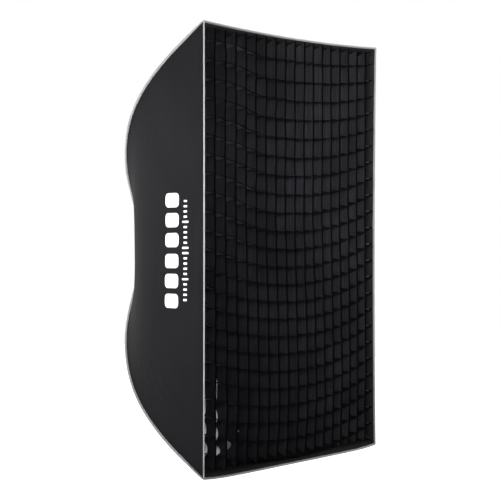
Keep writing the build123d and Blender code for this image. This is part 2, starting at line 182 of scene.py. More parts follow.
def closed_faces(n, m, base, flip=False):
    """Faces of a thin closed body, cloth and walls; its outer and inner n by m grids start at point base."""
    off = n * m
    cloth, kinds = [], []
    for i in range(n - 1):
        for j in range(m - 1):
            a = base + i * m + j
            b, c, d = a + 1, a + m + 1, a + m
            quad = (a, b, c, d) if flip else (d, c, b, a)
            cloth.append(quad)
            cloth.append(tuple(off + q for q in reversed(quad)))
            kinds += [0, 1]
    loop = list(range(m)) + [i * m + m - 1 for i in range(1, n)]
    loop += [(n - 1) * m + j for j in range(m - 2, -1, -1)] + [i * m for i in range(n - 2, 0, -1)]
    loop = [base + k for k in loop]
    walls = []
    for p, q in zip(loop, loop[1:] + loop[:1]):
        quad = (p, q, off + q, off + p)
        walls.append(tuple(reversed(quad)) if flip else quad)
    return cloth, walls, kinds + [0] * len(walls)


def two_sided(name, outer, inner, uv, mats):
    """Closed cloth from outer and inner grids of points, shape (n, m, 3); material 0 outside, 1 inside."""
    n, m = outer.shape[:2]
    verts = np.concatenate([outer.reshape(-1, 3), inner.reshape(-1, 3)])
    uvs = np.concatenate([uv.reshape(-1, 2), uv.reshape(-1, 2)])
    cloth, walls, kinds = closed_faces(n, m, 0)
    obj = new_object(name, verts, cloth + walls, uvs, mats, kinds)
    for polygon in list(obj.data.polygons)[len(cloth):]:
        polygon.use_smooth = False
    return obj


def tube_faces(base, n, m, closed_ends=True):
    """Faces of a tube of n rings of m points, the first at point base; its closed ends come last."""
    faces = []
    for i in range(n - 1):
        for j in range(m):
            a, b = base + i * m + j, base + i * m + (j + 1) % m
            faces.append((a, b, b + m, a + m))
    if closed_ends:
        faces.append(tuple(base + j for j in reversed(range(m))))
        faces.append(tuple(base + (n - 1) * m + j for j in range(m)))
    return faces


def swept(name, rings, uv_len, mats, closed_ends=True):
    """Tube through rings of points, shape (n, m, 3)."""
    n, m = rings.shape[:2]
    faces = tube_faces(0, n, m, closed_ends)
    around = np.zeros((n, m))
    steps = np.linalg.norm(np.diff(rings, axis=1), axis=2)
    around[:, 1:] = np.cumsum(steps, axis=1)
    uv = np.stack([np.broadcast_to(uv_len[:, None], (n, m)), around], -1)
    obj = new_object(name, rings.reshape(-1, 3), faces, uv.reshape(-1, 2), mats)
    return fix_normals(obj)


def fix_normals(obj, weld=False):
    """Turns all faces outward, after joining points that lie together if asked."""
    bm = bmesh.new()
    bm.from_mesh(obj.data)
    if weld:
        bmesh.ops.remove_doubles(bm, verts=bm.verts, dist=1e-6)
    bmesh.ops.recalc_face_normals(bm, faces=bm.faces)
    bm.to_mesh(obj.data)
    bm.free()
    return obj


def arc_length(points):
    return np.concatenate([[0], np.cumsum(np.linalg.norm(np.diff(points, axis=0), axis=1))])


def noise_at(points, scale, seed):
    """Smooth noise at each point; another seed gives another part of it."""
    shift = Vector((seed * 7.3, seed * 3.1, seed * 5.7))
    flat = points.reshape(-1, 3)
    values = [noise.noise(Vector(p) * scale + shift) for p in flat]
    return np.array(values).reshape(points.shape[:-1])


def noise_along(values, scale, y, z):
    """Smooth noise along a line of values."""
    return np.array([noise.noise(Vector((v * scale, y, z))) for v in values])


# ---- materials
class Nodes:
    """A short way to write node trees."""

    def __init__(self, name):
        self.mat = bpy.data.materials.new(name)
        self.mat.use_nodes = True
        self.tree = self.mat.node_tree
        self.tree.nodes.clear()
        self.out = self.tree.nodes.new("ShaderNodeOutputMaterial")

    def add(self, kind, **values):
        node = self.tree.nodes.new("ShaderNode" + kind)
        for key, value in values.items():
            if key in node.inputs:
                node.inputs[key].default_value = value
            else:
                setattr(node, key, value)
        return node

    def link(self, a, b):
        self.tree.links.new(a, b)

    def coords(self, source, scale=(1, 1, 1)):
        tex = self.add("TexCoord")
        mapping = self.add("Mapping")
        mapping.inputs["Scale"].default_value = scale
        self.link(tex.outputs[source], mapping.inputs["Vector"])
        return mapping.outputs["Vector"]

    def noise(self, vector, scale, detail=3.0):
        node = self.add("TexNoise", Scale=scale, Detail=detail)
        self.link(vector, node.inputs["Vector"])
        return node.outputs["Fac"]

    def wave(self, vector, scale, direction, distortion=0.0):
        node = self.add("TexWave", Scale=scale, Distortion=distortion)
        node.wave_type = "BANDS"
        node.bands_direction = direction
        self.link(vector, node.inputs["Vector"])
        return node.outputs["Fac"]

    def math(self, op, a, b):
        node = self.add("Math")
        node.operation = op
        for i, x in enumerate((a, b)):
            if isinstance(x, (int, float)):
                node.inputs[i].default_value = x
            else:
                self.link(x, node.inputs[i])
        return node.outputs[0]

    def plus(self, a, b):
        return self.math("ADD", a, b)

    def times(self, a, b):
        return self.math("MULTIPLY", a, b)

    def ramp(self, fac, stops):
        node = self.add("ValToRGB")
        ramp = node.color_ramp
        while len(ramp.elements) < len(stops):
            ramp.elements.new(0.5)
        for element, (pos, colour) in zip(ramp.elements, stops):
            element.position = pos
            element.color = (*colour, 1)
        self.link(fac, node.inputs["Fac"])
        return node.outputs["Color"]

    def mix(self, fac, a, b):
        node = self.add("Mix")
        node.data_type = "RGBA"
        for socket, x in ((node.inputs[0], fac), (node.inputs[6], a), (node.inputs[7], b)):
            if isinstance(x, tuple):
                socket.default_value = (*x, 1)
            elif isinstance(x, (int, float)):
                socket.default_value = x
            else:
                self.link(x, socket)
        return node.outputs[2]

    def shader(self, colour, height, bump=0.3, distance=0.0005, rough=None, rounding=0.0, **values):
        bsdf = self.add("BsdfPrincipled", **values)
        self.link(colour, bsdf.inputs["Base Color"])
        if rough is not None:
            self.link(rough, bsdf.inputs["Roughness"])
        node = self.add("Bump", Strength=bump, Distance=distance)
        self.link(height, node.inputs["Height"])
        self.link(node.outputs["Normal"], bsdf.inputs["Normal"])
        if rounding:
            edge = self.add("Bevel", Radius=rounding)
            self.link(edge.outputs["Normal"], node.inputs["Normal"])
        self.link(bsdf.outputs[0], self.out.inputs["Surface"])
        return bsdf


def grey(v, tint=0.0):
    return (v, v, v * (1 + tint))


def woven(name, dark, light, pitch, rough_value, hem=None):
    """Cloth with warp and weft at the given pitch in metres and uneven dye.

    With a hem colour, it also has blotches, long creases darkened with painted shade and a folded front edge
    painted in that colour as painted shade."""
    n = Nodes(name)
    uv = n.coords("UV")
    obj = n.coords("Object")
    warp = n.wave(uv, 1 / pitch / 2, "X", 0.4)
    weft = n.wave(uv, 1 / pitch / 2, "Y", 0.4)
    weave = n.times(warp, weft)
    cloud = n.noise(obj, 5.0, 4.0)
    fuzz = n.noise(uv, 900.0, 2.0)
    tone = n.plus(n.times(cloud, 0.75), n.times(fuzz, 0.25))
    colour = n.ramp(tone, [(0.3, dark), (0.72, light)])
    colour = n.mix(n.times(weave, 0.25), colour, light)
    height = n.plus(weave, n.times(fuzz, 0.4))
    if hem:
        creases = n.noise(n.coords("UV", (5.0, 230.0, 1.0)), 1.0, 3.0)
        blotch = n.noise(obj, 26.0, 2.0)
        colour = n.mix(n.ramp(blotch, [(0.36, grey(0.0)), (0.64, grey(0.3))]), colour, dark)
        # painted shade: the colour darkens along the long creases, besides the bump they give
        colour = n.mix(n.ramp(creases, [(0.42, grey(0.0)), (0.6, grey(0.65))]), colour, dark)
        height = n.plus(height, n.times(creases, 1.6))
        # painted shade: the folded front edge, up to HEM_V across, takes the dark hem colour
        split = n.add("SeparateXYZ")
        n.link(uv, split.inputs[0])
        colour = n.mix(n.math("LESS_THAN", split.outputs[1], HEM_V), colour, hem)
    rough = n.plus(n.times(cloud, 0.15), rough_value - 0.075)
    n.shader(colour, height, 0.35, 0.0003, rough, **{"Specular IOR Level": 0.04})
    return n.mat


def tape_material(name, dark, light, stitch_at, thread, sheen=0.25, gloss=0.5):
    """Binding tape: fine cross ribs, a stitched line along it at stitch_at metres from its first edge."""
    n = Nodes(name)
    uv = n.coords("UV")
    ribs = n.wave(uv, 1 / 0.0011 / 2, "X", 0.6)
    cloud = n.noise(n.coords("Object"), 9.0, 4.0)
    split = n.add("SeparateXYZ")
    n.link(uv, split.inputs[0])
    across = n.math("ABSOLUTE", n.math("SUBTRACT", split.outputs[1], stitch_at), 0)
    line = n.math("LESS_THAN", across, 0.00045)
    dash = n.math("LESS_THAN", n.math("FRACT", n.times(split.outputs[0], 1 / 0.0045), 0), 0.72)
    stitch = n.times(line, dash)
    colour = n.ramp(cloud, [(0.3, dark), (0.7, light)])
    colour = n.mix(n.times(ribs, 0.3), colour, dark)
    colour = n.mix(n.times(stitch, 0.85), colour, thread)
    height = n.plus(n.times(ribs, 0.5), n.times(stitch, 1.2))
    n.shader(colour, height, 0.4, 0.0004, Roughness=0.72,
             **{"Sheen Weight": sheen, "Sheen Roughness": 0.5, "Specular IOR Level": gloss})
    return n.mat


def moulded(name, dark, light, rough_value=0.5, grain=700.0, bump=0.15):
    """Moulded plastic or painted metal: fine grain, faint blotches, edges slightly worn."""
    n = Nodes(name)
    obj = n.coords("Object")
    fine = n.noise(obj, grain, 2.0)
    cloud = n.noise(obj, 30.0, 4.0)
    edge = n.add("NewGeometry").outputs["Pointiness"]
    worn = n.ramp(edge, [(0.52, grey(0.0)), (0.6, grey(0.5))])
    colour = n.ramp(cloud, [(0.3, dark), (0.75, light)])
    colour = n.mix(worn, colour, tuple(min(1.0, c * 2.2 + 0.02) for c in light))
    rough = n.plus(n.times(cloud, 0.2), rough_value - 0.1)
    n.shader(colour, fine, bump, 0.0002, rough, 0.0005)
    return n.mat


def brushed(name, tone, rough_value=0.32):
    """Bare metal, turned or brushed round the lamp's axis."""
    n = Nodes(name)
    obj = n.coords("Object")
    lines = n.noise(n.coords("Object", (900, 60, 900)), 1.0, 3.0)
    cloud = n.noise(obj, 22.0, 5.0)
    colour = n.ramp(cloud, [(0.3, grey(tone * 0.85)), (0.75, grey(tone, 0.02))])
    rough = n.plus(n.times(lines, 0.25), rough_value - 0.12)
    n.shader(colour, lines, 0.12, 0.0002, rough, 0.0005, Metallic=1.0)
    return n.mat


def print_ink(name):
    n = Nodes(name)
    obj = n.coords("Object")
    cloud = n.noise(obj, 60.0, 4.0)
    fine = n.noise(obj, 1400.0, 2.0)
    colour = n.ramp(cloud, [(0.3, grey(0.80)), (0.7, grey(0.92))])
    n.shader(colour, fine, 0.2, 0.0002, Roughness=0.55)
    return n.mat


def diffusing(name):
    """White translucent cloth: mostly diffuse, some light through, fine weave."""
    n = Nodes(name)
    uv = n.coords("UV")
    weave = n.times(n.wave(uv, 1 / 0.0008 / 2, "X", 0.3), n.wave(uv, 1 / 0.0008 / 2, "Y", 0.3))
    cloud = n.noise(n.coords("Object"), 4.0, 4.0)
    colour = n.ramp(cloud, [(0.3, grey(0.80, 0.02)), (0.7, grey(0.87, 0.01))])
    bsdf = n.shader(colour, weave, 0.25, 0.0003, Roughness=0.8, **{"Sheen Weight": 0.15})
    glow = n.add("BsdfTranslucent")
    n.link(colour, glow.inputs["Color"])
    both = n.add("MixShader")
    both.inputs["Fac"].default_value = 0.35
    n.link(bsdf.outputs[0], both.inputs[1])
    n.link(glow.outputs[0], both.inputs[2])
    n.link(both.outputs[0], n.out.inputs["Surface"])
    return n.mat


def silver_lining(name):
    """Silver-coated inner face of the shell, with a dimpled glint."""
    n = Nodes(name)
    obj = n.coords("Object")
    cells = n.add("TexVoronoi", Scale=240.0)
    n.link(obj, cells.inputs["Vector"])
    cloud = n.noise(obj, 12.0, 5.0)
    colour = n.ramp(cloud, [(0.3, grey(0.62, 0.01)), (0.7, grey(0.74, 0.01))])
    height = n.plus(cells.outputs["Distance"], n.times(cloud, 2.0))
    n.shader(colour, height, 0.3, 0.0008, Roughness=0.38, Metallic=0.85)
    return n.mat


HEM_V = 0.0135                     # strips' own coordinate across, where their folded front edge, painted in shade, ends
WEAVE = 0.9 * MM                   # pitch of the shell cloth's threads
GRID_WEAVE = 1.2 * MM
PANEL_TINT = 0.12                  # how much bluer than grey the cloths are
GRID_TINT = 0.16
M_CLOTH = woven("shell_cloth", grey(0.0075, PANEL_TINT), grey(0.0120, PANEL_TINT), WEAVE, 0.6)
M_SILVER = silver_lining("silver_lining")
# The grid's strips are one black cloth in painted lit and shaded copies: the uprights are lit, the level
# strips' undersides are lit brighter, and their top sides and front edges are in painted shade.
M_GRID_UPRIGHT_LIT = woven("grid_cloth_upright_painted_lit", grey(0.018, GRID_TINT), grey(0.046, GRID_TINT), GRID_WEAVE, 0.8,
                  hem=grey(0.002))
M_GRID_UNDER_LIT = woven("grid_cloth_under_painted_lit", grey(0.050, GRID_TINT), grey(0.120, GRID_TINT), GRID_WEAVE, 0.8,
                     hem=grey(0.004))
M_GRID_LEVEL_SHADED = woven("grid_cloth_level_painted_shade", grey(0.0015, GRID_TINT), grey(0.003, GRID_TINT), GRID_WEAVE, 0.85)
M_TAPE = tape_material("grey_binding", grey(0.22), grey(0.28), 0.0035, grey(0.62))
M_BLACK_TAPE = tape_material("black_tape", grey(0.006), grey(0.011), 0.003, grey(0.02), 0.0, 0.1)
M_WHITE = diffusing("diffusion_cloth")
M_INK = print_ink("white_print")
M_NYLON = moulded("black_nylon", grey(0.016), grey(0.028), 0.5)
M_PAINT = moulded("black_painted_metal", grey(0.014), grey(0.024), 0.36, 300.0, 0.08)
M_ROD = moulded("glass_fibre_rod", grey(0.020), grey(0.034), 0.3, 1200.0, 0.1)
M_BEARING = moulded("pale_nylon", grey(0.60), grey(0.70), 0.45)
M_RED = moulded("red_button", (0.30, 0.016, 0.012), (0.42, 0.028, 0.020), 0.42)
M_STEEL = brushed("brushed_steel", 0.62)
M_ZINC = brushed("zinc_pins", 0.52, 0.38)


# ---- setting the cloth pieces in place
def follow_rib(piece, nodes=()):
    """Bake a half piece of a side into place, and hide the CAD nodes that it stands in for, if given."""
    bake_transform(piece)
    if nodes:
        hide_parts(*nodes)


def follow_corner(piece, node):
    """Bake a piece that runs along a corner's diagonal into place, and hide the CAD node that it stands in
    for.
    """
    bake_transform(piece)
    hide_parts(node)


def half_sides():
    """The eight half sides: side, name, whether it's the upper or right half, and its t range."""
    return [(side, *half) for side in SAG for half in (("a", False, -1.0, 0.0), ("b", True, 0.0, 1.0))]


# ---- shell panels
CLOTH_T = 1.2 * MM
PROUD = 0.2 * MM                   # how far the cloth's outer face lies outside the sewn line
LENGTH_U, LENGTH_T = 0.65, 0.6     # rough lengths of a panel's half, for the fans of creases at its corners


def panel_wrinkles(side, points, u, t):
    """Distance, out from the cloth, of soft creases; nothing at the seams and at the hub."""
    tall = side in TALL
    axis = 2 if tall else 0
    edge = (1 - t * t) ** 0.6 * np.clip(u / 0.2, 0, 1) * np.clip((1 - u) / 0.03, 0, 1)
    broad = noise_at(points, 5.0, 1 + axis)
    stretch = np.array((2.0, 16.0, 1.2)) if tall else np.array((1.2, 16.0, 2.0))
    fine = noise_at(points * stretch, 2.4, 5 + axis)
    near_rim = np.clip((u - 0.72) / 0.28, 0, 1)
    back, aside = (1 - u) * LENGTH_U, (1 - np.abs(t)) * LENGTH_T
    reach = np.hypot(back, aside)
    turn = np.arctan2(back, aside)
    near, far = np.clip((reach - 0.07) / 0.06, 0, 1), np.clip((0.32 - reach) / 0.15, 0, 1)
    pull = near * far * np.clip(turn / 0.5, 0, 1)
    rays = np.sin(30 * turn + 9 * broad) * pull * (0.6 + 1.2 * fine)
    return edge * (2.2 * MM * broad + 1.1 * MM * fine * (0.3 + near_rim) + 1.4 * MM * rays)


def edged(t):
    """Adds a value close to each end, so that a cut edge shades like the cloth beside it."""
    close = 0.0006 * np.sign(t[-1] - t[0])
    return np.concatenate([t[:1], t[:1] + close, t[1:-1], t[-1:] - close, t[-1:]])


def panel_half(side, label, upper):
    """Half a panel, outer cloth and silver lining, with its points closer together towards the ridge."""
    u = np.linspace(0, 1, 110)[:, None] ** 0.9
    share = 1 - (1 - np.linspace(0, 1, 72)) ** 1.35
    t = edged(share if upper else -share[::-1])[None, :]
    u, t = np.broadcast_arrays(u, t)
    base = layer_point(side, u, 0.0, t)
    inward = layer_point(side, u, 1.0 * MM, t) - base
    inward /= np.linalg.norm(inward, axis=2, keepdims=True)
    out = panel_wrinkles(side, base, u, t)[..., None]
    outer = base - inward * (out - PROUD)
    inner = outer + inward * CLOTH_T
    length = arc_length(layer_point(side, u[:, 0], 0.0, 0.0))
    along = base[..., 2] if side in TALL else base[..., 0]
    uv = np.stack([np.broadcast_to(length[:, None], u.shape), along], -1)
    return fix_normals(two_sided(f"panel_{side}_{label}", outer, inner, uv, (M_CLOTH, M_SILVER)))


def make_panels():
    for side, label, upper, _, _ in half_sides():
        piece = panel_half(side, label, upper)
        follow_rib(piece, ["panel_" + side])


# ---- grey bindings
# half the section of the folded tape on a seam: height above the seam and half thickness in mm
FOLD = [(-0.6, 1.2), (2.0, 1.5), (5.0, 1.35), (7.6, 1.25), (8.8, 0.9), (9.3, 0.0)]


def ridge_tape(key):
    """Folded tape on a ridge seam, puckered along its stitches, lower towards the mouth."""
    n = 260
    u = np.linspace(0.0, 0.996, n)
    height = 0.68 * (1 - 0.45 * np.clip((u - 0.9) / 0.1, 0, 1) ** 2)
    centre = corner_point(key, *ridge(u, 0.0), 0.0)
    length = arc_length(centre)
    profile = [(h * MM, w * MM) for h, w in FOLD + [(h, -w) for h, w in reversed(FOLD[:-1])]]
    rings = np.zeros((n, len(profile), 3))
    sway = noise_along(length, 14.0, 3.0 * (1 + list(CORNERS).index(key)), 0.5)
    pucker = np.sin(length / 0.009 * math.tau) * 0.12 * MM
    for k, (h, w) in enumerate(profile):
        lift = max(h, 0) / (FOLD[-1][0] * MM)
        r, y = ridge(u, tuck(u) - h * height * (1 + 0.05 * sway))
        z = w + lift * (0.9 * MM * sway) + (pucker if w >= 0 else -pucker) * (0.5 + lift)
        rings[:, k] = corner_point(key, r, y, z)
        rings[:, k, 2] -= droop(u)
    piece = swept("binding_ridge_" + key, rings, length, (M_TAPE,))
    follow_corner(piece, "ridge_" + key)


def rim_tape(side, label, t0, t1):
    """Tape folded over the mouth edge: a is back along the shell, h out from it. The left one is narrow."""
    wide, thick = (0.45, 0.5) if side == "left" else (1.0, 1.0)
    thick /= 0.65 if side in TALL else 0.835
    out = [(8.6, 0.35), (8.2, 1.1), (6.0, 1.35), (3.0, 1.5), (0.8, 1.45), (-0.7, 0.9), (-1.4, -0.2)]
    back = [(-1.3, -1.5), (-0.5, -2.3), (2.0, -2.5), (6.0, -2.4), (8.0, -2.2), (8.3, -1.4)]
    profile = [(a * MM * (wide if a > 0 else 1.0), h * MM * thick) for a, h in out + back]
    n = 150
    t = np.linspace(t0, t1, n)
    angle = float(slope_angle(1.0))
    ripple = noise_along(t, 22.0, 1.7 * (1 + list(SAG).index(side)), 9.0)
    rings = np.zeros((n, len(profile), 3))
    ends = 1 - np.abs(t) ** 12
    for j, (a, h) in enumerate(profile):
        h2 = h + (0.25 * MM * ripple * ends if h > 0 else 0)
        a2 = a + (0.5 * MM * ripple * ends if a > 4.5 * MM else 0)
        r = R_CORNER - a2 * math.cos(angle) + h2 * math.sin(angle)
        y = FRONT_Y + a2 * math.sin(angle) + h2 * math.cos(angle)
        rings[:, j] = place(side, 1.0 - a / 1.4, r, y, t)
    return swept(f"binding_rim_{side}_{label}", rings, arc_length(rings[:, 3]), (M_TAPE,))


def make_bindings():
    for key in CORNERS:
        ridge_tape(key)
    for side, label, upper, t0, t1 in half_sides():
        piece = rim_tape(side, label, t0, t1)
        follow_rib(piece, ["rim_" + side])


# ---- strips and tapes inside the mouth
# name, CAD node, shares of the rib that it lies between, depths inside the cloth that it lies between
BANDS = [("loop_tape", "loop_tape", 0.93, 0.996, 2.2 * MM, 3.8 * MM),
         ("diffuser_hem", "diffuser_border", 0.936, 0.966, 4.1 * MM, 5.6 * MM),
         ("grid_hem", "grid_border", 0.969, 0.996, 4.1 * MM, 5.6 * MM)]


def inner_band(side, label, upper, t0, t1, name, node, u0, u1, d0, d1):
    """Flat black tape that follows the inside of a side, between shares u0 and u1 and depths d0 and d1."""
    n = 70
    t = np.linspace(t0, t1, n)
    section = [(u0, d0), ((u0 + u1) / 2, d0), (u1, d0), (u1, d1), ((u0 + u1) / 2, d1), (u0, d1)]
    rings = np.zeros((n, len(section), 3))
    wave = noise_along(t, 17.0, 4.4, 2.0 + list(SAG).index(side))
    for j, (u, d) in enumerate(section):
        rings[:, j] = layer_point(side, u, d + 0.15 * MM * wave * (1 - t ** 8), t)
    piece = swept(f"{name}_{side}_{label}", rings, arc_length(rings[:, 0]), (M_BLACK_TAPE,))
    follow_rib(piece, [node])


def make_inner_bands():
    for half in half_sides():
        for band in BANDS:
            inner_band(*half, *band)


# ---- strip grid
COLS, ROWS = 18, 24
PITCH_X = 0.0492
PITCH_Z = 0.0493
STRIP_T = 0.9 * MM
BULGE = 0.016                      # how far the middle of the grid stands forward
GRID_HALF_W = 0.437
MOUTH_HALF = (0.4365, 0.5855)      # half width and height between the hems at the grid's front
MOUTH_TAPER = (0.0135, 0.0190)     # how much less they are at its back


def row_sag(i):
    """How far the middle of horizontal strip i (1 at the top) hangs below its ends."""
    if i <= 12:
        return 0.023 + 0.034 * math.sin(math.pi / 2 * (i - 1) / 11)
    return 0.057 - 0.009 * ((i - 12) / 11) ** 2


def sag_at(z):
    """How far the middle of the grid hangs at height z, none at the top edge."""
    depths = [-HALF_H] + [(i - ROWS / 2) * PITCH_Z for i in range(1, ROWS)] + [HALF_H]
    return float(np.interp(-z, depths, [0.0] + [row_sag(i) for i in range(1, ROWS)] + [0.046]))


def wall(y):
    """Half width and half height of the mouth's inside at a given y, in from the hems."""
    share = float(np.interp(y, [GRID_FRONT, GRID_BACK], [0, 1]))
    return MOUTH_HALF[0] - MOUTH_TAPER[0] * share, MOUTH_HALF[1] - MOUTH_TAPER[1] * share


def bulge_at(x, z):
    """How far the grid stands forward at a place, most in its lower middle."""
    low = np.clip((0.25 - z / HALF_H) / 0.9, 0, 1)
    return BULGE * low * (1 - (x / HALF_W) ** 2) * (1 - (z / HALF_H) ** 4)


def hang(x, z):
    """How far a point of the grid hangs down."""
    return sag_at(z) * (1 - (x / GRID_HALF_W) ** 2)


# slack upright strips near the lower left corner: strip, top, bottom, share of its depth lost in the middle
GAPS = [(-7, -0.325, -0.415, 0.24), (-7, -0.425, -0.468, 0.27), (-7, -0.470, -0.515, 0.33),
        (-7, -0.522, -0.553, 0.50), (-8, -0.378, -0.445, 0.24), (-8, -0.452, -0.502, 0.27),
        (-8, -0.508, -0.550, 0.36), (-6, -0.512, -0.540, 0.50), (-5, -0.486, -0.500, 0.30)]
JITTER = {}


def knot_offset(i, j):
    """Four fixed random shares, -1 to 1, for the crossing of upright strip i and level strip j."""
    if (i, j) not in JITTER:
        JITTER[(i, j)] = [random.uniform(-1, 1) for _ in range(4)]
    return JITTER[(i, j)]


def short_back(k, z):
    """Share by which the back edge of an upright strip is drawn forward at a height."""
    for at, top, bottom, lost in GAPS:
        if k == at and bottom < z < top:
            return lost * math.sin(math.pi * (z - bottom) / (top - bottom)) ** 0.45
    return 0.0


def section_rows(front, back, end=1.0):
    """(face, depth, place, thickness) round a strip's section, thicker at its folded front edge."""
    rows = [(0.0, front, 1.2), (0.10, front, 1.2), (0.14, front, 1.0), (0.5, 0.5 * (front + back), 1.0),
            (end, back, 1.0)]
    return [(-1, *row) for row in rows] + [(1, *row) for row in reversed(rows)]


def vertical_strip(k):
    """Strip between the columns: k from -8 to 8."""
    x0 = k * PITCH_X
    hz_front, hz_back = wall(GRID_FRONT)[1], wall(GRID_BACK)[1]
    rings = []
    per = 6
    for s in range(ROWS * per + 1):
        i, part = divmod(s, per)
        f = part / per
        z = HALF_H - (s / per) * PITCH_Z
        jf0, jb0 = knot_offset(k, i)[:2]
        jf1, jb1 = knot_offset(k, i + 1)[:2]
        ease = f * f * (3 - 2 * f)
        jf = jf0 + (jf1 - jf0) * ease
        jb = jb0 + (jb1 - jb0) * ease
        belly = math.sin(math.pi * f) * 1.6 * MM * knot_offset(k, i)[2]
        front = x0 + jf * 1.6 * MM + belly
        back = x0 + jb * 1.1 * MM
        zz = z - hang(x0, z)
        push = bulge_at(x0, z)
        section = []
        for face, depth, x, thick in section_rows(front, back, 1 - short_back(k, zz)):
            y = GRID_FRONT + (GRID_BACK - GRID_FRONT) * depth - push * (1 - 0.2 * depth)
            limit = hz_front + (hz_back - hz_front) * depth
            zc = max(-limit, min(limit, zz))
            section.append((x + face * STRIP_T / 2 * thick, y, zc))
        rings.append(section)
    rings = np.array(rings)
    keep = [0]
    for s in range(1, len(rings)):
        if abs(rings[s, :, 2] - rings[keep[-1], :, 2]).max() > 0.5 * MM:
            keep.append(s)
    return rings[keep]


def horizontal_strip(i):
    """Strip between the rows: i from 1 (top) to 23. Its front edge hangs, but is lifted at the upper left."""
    z0 = HALF_H - i * PITCH_Z
    rings = []
    per = 4
    for s in range(COLS * per + 1):
        k, part = divmod(s, per)
        f = part / per
        x = (-COLS / 2 + s / per) * PITCH_X
        ease = f * f * (3 - 2 * f)
        a, b = knot_offset(k - 9, i), knot_offset(k - 8, i)
        jf = a[0] + (b[0] - a[0]) * ease
        jb = a[3] + (b[3] - a[3]) * ease
        belly = math.sin(math.pi * f) * 1.5 * MM * a[2]
        lifted = np.clip((z0 + 0.1) / 0.25, 0, 1) * np.clip((-x - 0.17) / 0.13, 0, 1)
        high_up = np.clip((z0 + 0.4) / 0.4, 0, 1)
        tilt = (-1.5 - 3.5 * high_up + 14.0 * lifted) * MM
        ends = 1 - (x / 0.44) ** 8
        front = (jf * 1.4 * MM + belly + tilt) * ends
        back = (jb * 1.0 * MM) * ends
        push = bulge_at(x, z0)
        zz = z0 - hang(x, z0)
        section = []
        for face, depth, dz, thick in section_rows(front, back):
            y = GRID_FRONT + (GRID_BACK - GRID_FRONT) * depth - push * (1 - 0.2 * depth)
            hx, hz = wall(y + push)
            xc = max(-hx, min(hx, x))
            zc = max(-hz, min(hz, zz + dz))
            section.append((xc, y, zc + face * STRIP_T / 2 * thick))
        rings.append(section)
    return np.array(rings)


def sector_of(x, z):
    """Which side and half a place on the mouth belongs to."""
    if abs(x) / CX > abs(z) / CZ:
        return ("right" if x > 0 else "left"), z > 0
    return ("top" if z > 0 else "bottom"), x > 0


def strip_sector(ring, upright, line):
    """Sector of a strip's ring: a strip on a middle line isn't cut lengthwise, and goes by its own line."""
    x, z = ring[:, 0].mean(), ring[:, 2].mean()
    side, upper = sector_of(line if upright else x, z)
    if upright == (side in ("top", "bottom")):
        upper = line >= 0
    return side, upper


def cut_strip(rings, upright, line):
    """A strip in lengths, each with the sector of the mouth that it belongs to."""
    parts = [(strip_sector(rings[0], upright, line), [rings[0]])]
    for before, after in zip(rings, rings[1:]):
        owner = strip_sector(after, upright, line)
        if owner == parts[-1][0]:
            parts[-1][1].append(after)
            continue
        low, high = 0.0, 1.0
        for _ in range(16):
            middle = (low + high) / 2
            if strip_sector(before + (after - before) * middle, upright, line) == parts[-1][0]:
                low = middle
            else:
                high = middle
        share = min(0.9, low)
        cut = before + (after - before) * share
        if share > 0.05:
            parts[-1][1].append(cut)
        parts.append((owner, [cut if share > 0.05 else before, after]))
    return [(owner, np.array(rows)) for owner, rows in parts if len(rows) > 1]


def strip_kinds(n, m, upright):
    """Materials of a closed strip's faces: 0 upright cloth, a painted lit copy; 1 top side, a painted shaded
    copy; 2 underside, a brighter painted lit copy.
    """
    ring = [0 if upright else (2 if j < m // 2 - 1 else 1) for j in range(m)]
    return ring * (n - 1) + [0 if upright else 1] * 2


def make_grid():
    """Strips sewn into cells, one piece per sector of the mouth."""
    strips = [(vertical_strip(k), True, k * PITCH_X) for k in range(-8, 9)]
    strips += [(horizontal_strip(i), False, HALF_H - i * PITCH_Z) for i in range(1, ROWS)]
    sectors = {(side, upper): ([], [], [], [], []) for side, _, upper, _, _ in half_sides()}
    for number, (rings, upright, line) in enumerate(strips):
        for owner, part in cut_strip(rings, upright, line):
            verts, faces, uvs, kinds, lengths = sectors[owner]
            n, m = part.shape[:2]
            faces += tube_faces(len(verts), n, m)
            kinds += strip_kinds(n, m, upright)
            verts += [tuple(p) for p in part.reshape(-1, 3)]
            run = arc_length(part[:, 0])
            uvs += [(run[s] + number * 0.37, min(j, m - 1 - j) * 0.012) for s in range(n) for j in range(m)]
            lengths.append(float(run[-1]))
    mats = (M_GRID_UPRIGHT_LIT, M_GRID_LEVEL_SHADED, M_GRID_UNDER_LIT)
    for side, label, upper, _, _ in half_sides():
        verts, faces, uvs, kinds, lengths = sectors[(side, upper)]
        piece = new_object(f"strip_grid_{side}_{label}", verts, faces, uvs, mats, kinds, smooth=False)
        fix_normals(piece)
        follow_rib(piece, ["grid_lattice"])


# ---- diffusers
DIFFUSER_T = 0.8 * MM
TAB_HALF_W = 6 * MM


def diffuser_sector(name, side, label, upper, half_x, half_z, y_at):
    """Triangle of cloth from the centre to half a side; t runs from the middle line to the diagonal."""
    shares = np.linspace(0.0, 1.0, 40)
    s, t = np.broadcast_arrays(shares[:, None], shares[None, :] * (1 if upper else -1))
    across, along = (half_x, half_z) if side in TALL else (half_z, half_x)
    x, z = on_side(side, across * s, along * s * t)
    y = y_at(x, z)
    outer = np.stack([x, y - DIFFUSER_T / 2, z], -1)
    inner = np.stack([x, y + DIFFUSER_T / 2, z], -1)
    uv = np.stack([x, z], -1)
    piece = two_sided(f"{name}_{side}_{label}", outer, inner, uv, (M_WHITE, M_WHITE))
    return fix_normals(piece, weld=True)


def slack(x, z, high, scale, seed):
    """How free of its hem a diffuser is at each place, 0 to 1, and smooth noise there."""
    edge = np.clip(1 - np.maximum(np.abs(x) / high.x, np.abs(z) / high.z), 0, 1) ** 0.5
    return edge, noise_at(np.stack([x, x * 0, z], -1), scale, seed)


